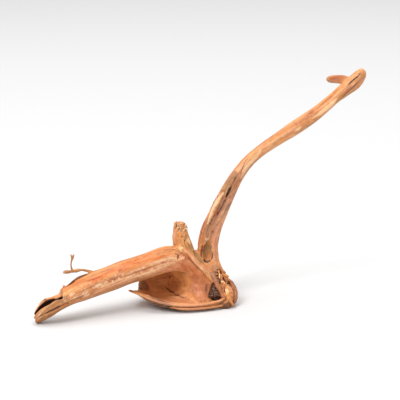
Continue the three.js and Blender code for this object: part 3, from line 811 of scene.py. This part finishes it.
def relief_of(wood):
    """The height that the wood's grain, decay and breaks give it, in millimetres."""
    relief = 0.75 * wood.flutes + 0.4 * wood.ridges + 0.18 * wood.fibres
    relief += wood.decayed * (0.7 * wood.ridges + 0.35 * wood.fibres + 0.25 * wood.speck)
    chips = 1.5 * (wood.chip - 0.45) - 1.1 * fade(wood.chip_gap, 0.2, 0)
    relief += wood.frayed * (1.0 * wood.ridges + chips)
    chunks = 2.4 * (wood.chunk - 0.6) - 1.4 * fade(wood.crevice, 0.25, 0)
    relief += wood.broken * (chunks + 0.5 * wood.speck)
    return relief - 0.5 * wood.split


def raise_wood(mesh, points, wood, marked):
    """Lifts each point by the relief and by what the marks add, and gives the new points."""
    standing = (1 - wood.slight) * fade(points[:, 2], 0.2, 4)
    rise = standing * (relief_of(wood) + marked) + wood.slight * 0.12 * wood.speck
    points = points + normals_of(mesh) * rise[:, None]
    points[:, 2] = np.maximum(points[:, 2], LOWEST)
    set_points(mesh, points)
    return points


def dark_shade(wood, lift):
    """Cracks, crevices, painted shade in deep hollows, and the gaps between the knob's frayed ends."""
    crevices = 0.75 * wood.broken * fade(wood.crevice, 0.35, 0.05)
    # Painted shade in the deep hollows of the wood's shape.
    hollow_shade = 0.6 * fade(-lift, 0.25, 0.6) * wood.skin
    gaps = 0.85 * wood.frayed * fade(wood.chip_gap, 0.2, 0.05) * fade(wood.speck, -0.4, 0.2) * wood.skin
    rot = 0.5 * wood.decayed * fade(wood.speck + wood.blotch, 0.75, 1.1)
    return np.max([0.75 * wood.split, crevices, hollow_shade, gaps, rot], axis=0)


def brown_shade(wood, lift, low_shade):
    """Furrows, painted shade in shallow hollows and near the floor, thin threads, and decayed or broken wood.
    """
    furrows = 0.3 * fade(-wood.ridges + 0.4 * wood.blotch, 0.35, 0.95)
    # Painted shade in the shallow hollows of the wood's shape.
    hollow_shade = 0.5 * fade(-lift, 0.03, 0.3) * wood.skin
    threads = 0.65 * fade(np.abs(wood.threads), 0.09, 0.01) * fade(wood.blotch + 0.5 * wood.drift, -0.1, 0.3)
    rot = 0.7 * wood.decayed * fade(wood.speck + 0.5 * wood.blotch, 0.1, 0.7)
    return np.max([furrows, hollow_shade, 0.6 * low_shade, threads, rot, 0.5 * wood.broken], axis=0)


def cream_shade(wood, lift):
    """The tops of ridges, worn edges, and the palest of the frayed chips."""
    ridges = 0.3 * fade(wood.ridges + 0.4 * wood.speck, 0.45, 0.95)
    edges = 0.35 * fade(lift, 0.08, 0.3) * wood.skin * (1 - wood.decayed)
    return ridges + edges + 0.8 * wood.frayed * fade(wood.chip, 0.6, 0.9)


def shades_of(mesh, points, wood):
    """The masks that follow from the wood's own shape and grain, wherever it is, with painted light and
    painted shade among them.
    """
    facing = normals_of(mesh)
    upward = facing[:, 2]
    even = smoothed(mesh, points, np.full(len(points), 0.5), 5)
    lift = np.einsum("ij,ij->i", points - even, facing)
    # Painted shade: darker near the floor, most where the wood faces down.
    low_shade = fade(points[:, 2], 9, 2) * fade(wood.blotch - upward, -0.5, 0.5)
    hairs = 0.5 * fade(np.abs(wood.hair - 0.25), 0.05, 0.01) * fade(wood.blotch, 0.0, 0.4)
    return {
        # Gold: a drifting tone of the wood, plus painted light on up-facing sides.
        "gold": 0.75 * fade(wood.drift + 0.5 * wood.flutes, 0.05, 0.6) + 0.35 * fade(upward, 0.2, 0.9),
        "pink": 0.6 * fade(-wood.drift + 0.5 * wood.blotch, 0.0, 0.7),
        # Olive: painted shade on down-facing sides.
        "olive": 0.55 * fade(-upward + 0.5 * wood.drift, 0.25, 0.9),
        "cream": cream_shade(wood, lift),
        "brown": brown_shade(wood, lift, low_shade),
        "dark": dark_shade(wood, lift),
        "rust": np.maximum(hairs, 0.55 * wood.broken),
        "grey": 0.45 * wood.decayed * fade(-wood.blotch, -0.2, 0.4),
    }


def carve_wood(mesh):
    """Rounds, flutes and marks the wood's mesh, and gives it the masks that its material reads."""
    rounded = round_edges(mesh)
    ranges = grow_details(mesh, rounded)
    points = points_of(mesh)
    wood = Patterns(points, np.arange(len(points)) >= len(rounded))
    marked, masks = marks_on(points, 0.4 * wood.speck + 0.3 * wood.blotch + 0.6 * wood.ridges)
    paint_places(masks, points, wood, ranges)
    points = raise_wood(mesh, points, wood, marked)
    shades = shades_of(mesh, points, wood)
    for name in WOOD_COLOURS:
        shade = shades.get(name, 0) * (1 - 0.5 * wood.slight)
        set_mask(mesh, name, np.clip(np.maximum(masks[name], shade), 0, 1))
    streak = 0.5 * wood.ridges + 0.35 * wood.fibres + 0.35 * wood.flutes
    set_mask(mesh, "streak", 0.5 + 0.5 * streak)
    set_mask(mesh, "worn", fade(wood.flutes + 0.6 * wood.ridges, 0.0, 0.9))


# ---- Materials


def linear(code):
    """A sRGB hex colour as linear RGBA."""
    parts = [int(code[k : k + 2], 16) / 255 for k in (1, 3, 5)]
    return (*(c / 12.92 if c <= 0.04045 else ((c + 0.055) / 1.055) ** 2.4 for c in parts), 1.0)


def add_node(tree, kind, links=None, values=None, **settings):
    """A node with its settings, its sockets' values, and links from other nodes' sockets."""
    node = tree.nodes.new(kind)
    for name, value in settings.items():
        setattr(node, name, value)
    for socket, value in (values or {}).items():
        node.inputs[socket].default_value = value
    for socket, source in (links or {}).items():
        tree.links.new(source, node.inputs[socket])
    return node


def new_material(name):
    material = bpy.data.materials.new(name)
    material.use_nodes = True
    material.node_tree.nodes.clear()
    return material


# A colour Mix node's sockets, whose names its number sockets share.
MIX_FACTOR = 0
MIX_A = 6
MIX_B = 7
MIX_RESULT = 2

WOOD_BASE = "#DA915C"
WOOD_DARK_STREAK = "#A9633A"
WOOD_LIGHT_STREAK = "#F0B685"
# Each mask's colour, in the order in which they are laid over each other.
WOOD_COLOURS = {
    "gold": "#DC9453",
    "pink": "#DC9672",
    "red": "#D06828",
    "olive": "#9C7440",
    "grey": "#8A6B56",
    "brown": "#9A5C34",
    "rust": "#9C4A24",
    "raw": "#D68C44",
    "cream": "#FAD0A2",
    "dark": "#2C150B",
}
EARTH_DARK = "#22130D"
EARTH_MIDDLE = "#55352A"
EARTH_LIGHT = "#8E6048"
EARTH_GRIT = "#C9A98F"
BOARD = "#D6D6D6"


def dry_wood():
    """Root wood without its bark, dried in the sun and worn satin: long streaks of tan, pink and gold,
    grey-brown where it has decayed, cream on the worn ridges and dark in the cracks."""
    # The masks that this material reads also carry painted highlights and painted shade.
    pore = 1.4 * MM
    blotch = 5 * MM
    fibre = 0.9 * MM  # a real fibre is finer still, but it wouldn't show
    fibre_depth = 0.25 * MM
    material = new_material("sun_dried_root_wood")
    tree = material.node_tree
    place = add_node(tree, "ShaderNodeTexCoord").outputs["Object"]
    streak = add_node(tree, "ShaderNodeAttribute", attribute_name="streak").outputs["Fac"]
    pores = add_node(
        tree, "ShaderNodeTexNoise", {"Vector": place}, {"Scale": 1 / pore, "Detail": 3.0, "Roughness": 0.6}
    ).outputs["Fac"]
    mottle = add_node(
        tree, "ShaderNodeTexNoise", {"Vector": place},
        {"Scale": 1 / blotch, "Detail": 4.0, "Roughness": 0.6, "Distortion": 0.4},
    ).outputs["Fac"]
    tone = add_node(
        tree, "ShaderNodeMix", {"A": streak, "B": mottle}, {"Factor": 0.35}, data_type="FLOAT"
    ).outputs["Result"]
    ramp = add_node(tree, "ShaderNodeValToRGB", {"Fac": tone})
    ends = ramp.color_ramp.elements
    ends[0].position = 0.32
    ends[0].color = linear(WOOD_DARK_STREAK)
    ends[1].position = 0.7
    ends[1].color = linear(WOOD_LIGHT_STREAK)
    ends.new(0.5).color = linear(WOOD_BASE)
    colour = ramp.outputs["Color"]
    for name, code in WOOD_COLOURS.items():
        mask = add_node(tree, "ShaderNodeAttribute", attribute_name=name).outputs["Fac"]
        least = 0.9 if name == "dark" else 0.6
        uneven = add_node(
            tree, "ShaderNodeMapRange", {"Value": mottle},
            {"From Min": 0.3, "From Max": 0.65, "To Min": least, "To Max": 1.15},
        ).outputs["Result"]
        factor = add_node(tree, "ShaderNodeMath", {0: mask, 1: uneven}, operation="MULTIPLY", use_clamp=True)
        colour = add_node(
            tree, "ShaderNodeMix", {MIX_FACTOR: factor.outputs[0], MIX_A: colour}, {MIX_B: linear(code)},
            data_type="RGBA",
        ).outputs[MIX_RESULT]
    fleck = add_node(
        tree, "ShaderNodeMapRange", {"Value": pores},
        {"From Min": 0.3, "From Max": 0.7, "To Min": 0.86, "To Max": 1.1},
    ).outputs["Result"]
    colour = add_node(tree, "ShaderNodeVectorMath", {0: colour, 1: fleck}, operation="MULTIPLY").outputs[0]
    worn = add_node(tree, "ShaderNodeAttribute", attribute_name="worn").outputs["Fac"]
    rough = add_node(
        tree, "ShaderNodeMapRange", {"Value": worn},
        {"From Min": 0.0, "From Max": 1.0, "To Min": 0.68, "To Max": 0.42},
    ).outputs["Result"]
    fine = add_node(
        tree, "ShaderNodeTexNoise", {"Vector": place}, {"Scale": 1 / fibre, "Detail": 4.0, "Roughness": 0.7}
    )
    bump = add_node(
        tree, "ShaderNodeBump", {"Height": fine.outputs["Fac"]}, {"Strength": 0.35, "Distance": fibre_depth}
    )
    shader = add_node(
        tree, "ShaderNodeBsdfPrincipled",
        {"Base Color": colour, "Roughness": rough, "Normal": bump.outputs["Normal"]},
        {"IOR": 1.5, "Specular IOR Level": 0.45},
    )
    add_node(tree, "ShaderNodeOutputMaterial", {"Surface": shader.outputs[0]})
    return material


def dried_earth():
    """Humus and clay dried to crumbs: dark brown, quite matt, with pale grit and grey root dust in it."""
    clod = 2.2 * MM
    clod_depth = 0.5 * MM
    grain = 1.9 * MM  # between grains of grit
    material = new_material("crumbled_dry_earth")
    tree = material.node_tree
    place = add_node(tree, "ShaderNodeTexCoord").outputs["Object"]
    clods = add_node(
        tree, "ShaderNodeTexNoise", {"Vector": place}, {"Scale": 1 / clod, "Detail": 5.0, "Roughness": 0.7}
    ).outputs["Fac"]
    ramp = add_node(tree, "ShaderNodeValToRGB", {"Fac": clods})
    ends = ramp.color_ramp.elements
    ends[0].position = 0.34
    ends[0].color = linear(EARTH_DARK)
    ends[1].position = 0.7
    ends[1].color = linear(EARTH_LIGHT)
    ends.new(0.52).color = linear(EARTH_MIDDLE)
    grit = add_node(
        tree, "ShaderNodeTexVoronoi", {"Vector": place}, {"Scale": 1 / grain}
    ).outputs["Distance"]
    speck = add_node(
        tree, "ShaderNodeMapRange", {"Value": grit},
        {"From Min": 0.3, "From Max": 0.18, "To Min": 0.0, "To Max": 0.9},
    ).outputs["Result"]
    colour = add_node(
        tree, "ShaderNodeMix", {MIX_FACTOR: speck, MIX_A: ramp.outputs["Color"]},
        {MIX_B: linear(EARTH_GRIT)}, data_type="RGBA",
    ).outputs[MIX_RESULT]
    bump = add_node(tree, "ShaderNodeBump", {"Height": clods}, {"Strength": 0.7, "Distance": clod_depth})
    shader = add_node(
        tree, "ShaderNodeBsdfPrincipled", {"Base Color": colour, "Normal": bump.outputs["Normal"]},
        {"Roughness": 0.95, "Specular IOR Level": 0.25},
    )
    add_node(tree, "ShaderNodeOutputMaterial", {"Surface": shader.outputs[0]})
    return material


# ---- The pieces


def smooth_shaded(piece, material):
    piece.data.materials.append(material)
    piece.data.polygons.foreach_set("use_smooth", np.ones(len(piece.data.polygons), bool))


def make_root():
    piece = remeshed("root_wood", SKIN, "dry_root")
    carve_wood(piece.data)
    smooth_shaded(piece, dry_wood())
    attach(piece, "root")
    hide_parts("root_wood")


def crumble(mesh):
    """Breaks the earth's front into crumbs of two sizes."""
    points = smoothed(mesh, points_of(mesh), np.full(len(mesh.vertices), 0.5), 4)
    set_points(mesh, points)
    crevice, mark = cells(points / 1.7, seed=21)
    small_crevice, small_mark = cells(points / 0.9, seed=22)
    rise = 0.9 * (mark - 0.4) - 0.7 * fade(crevice, 0.2, 0)
    rise = rise + 0.3 * (small_mark - 0.5) - 0.2 * fade(small_crevice, 0.2, 0)
    facing = normals_of(mesh)
    front = fade(facing[:, 1], 0.3, -0.2)
    points = points + facing * (rise * front)[:, None]
    points[:, 2] = np.maximum(points[:, 2], 0.3)
    set_points(mesh, points)


def make_earth():
    piece = remeshed("packed_earth", EARTH_SKIN, "earth_in_pocket", EARTH_FILL)
    crumble(piece.data)
    smooth_shaded(piece, dried_earth())
    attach(piece, "root")
    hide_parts("packed_earth")


# ---- Floor, light and camera


def matt_board(name, code, roughness):
    """A matt painted studio board: even and pale, so that only soft shadows show on it."""
    material = new_material(name)
    tree = material.node_tree
    shader = add_node(
        tree, "ShaderNodeBsdfPrincipled", values={"Base Color": linear(code), "Roughness": roughness}
    )
    add_node(tree, "ShaderNodeOutputMaterial", {"Surface": shader.outputs[0]})
    return material


def make_floor():
    half = 4.0  # metres
    mesh = bpy.data.meshes.new("studio_floor")
    corners = [(-half, -half, 0), (half, -half, 0), (half, half, 0), (-half, half, 0)]
    mesh.from_pydata(corners, [], [(0, 1, 2, 3)])
    floor = bpy.data.objects.new("studio_floor", mesh)
    floor.data.materials.append(matt_board("matt_pale_board", BOARD, 0.9))
    bpy.context.scene.collection.objects.link(floor)


def make_light(name, place, side, watts, target):
    """A square lamp that faces the target. Places and sizes are in metres."""
    light = bpy.data.lights.new(name, "AREA")
    light.shape = "SQUARE"
    light.size = side
    light.energy = watts
    lamp = bpy.data.objects.new(name, light)
    lamp.location = place
    lamp.rotation_mode = "QUATERNION"
    lamp.rotation_quaternion = (Vector(target) - Vector(place)).to_track_quat("-Z", "Y")
    bpy.context.scene.collection.objects.link(lamp)


def make_studio():
    make_floor()
    world = bpy.data.worlds.new("studio_air")
    world.use_nodes = True
    background = world.node_tree.nodes["Background"]
    background.inputs["Color"].default_value = (1, 1, 1, 1)
    background.inputs["Strength"].default_value = 0.72
    bpy.context.scene.world = world
    middle = (0, 0, 0.1)
    make_light("key", (-2.0, -2.5, 3.6), 2.0, 130, middle)
    make_light("top", (0.5, 0.75, 4.6), 3.5, 120, middle)
    bpy.context.scene.view_settings.view_transform = "Standard"


def make_camera():
    """From the front and a little above, far enough away for a flat perspective."""
    elevation = math.radians(14)
    distance = 1.5  # metres
    seen = 0.42  # width of the view at the target
    target = Vector((-2.33, 12.97, 111.7)) * MM
    back = Vector((0, -math.cos(elevation), math.sin(elevation)))
    data = bpy.data.cameras.new("camera")
    data.sensor_width = 36
    data.lens = data.sensor_width * distance / seen
    camera = bpy.data.objects.new("camera", data)
    camera.location = target + back * distance
    camera.rotation_mode = "QUATERNION"
    camera.rotation_quaternion = (-back).to_track_quat("-Z", "Y")
    bpy.context.scene.collection.objects.link(camera)
    bpy.context.scene.camera = camera


make_camera()
make_studio()
make_root()
make_earth()
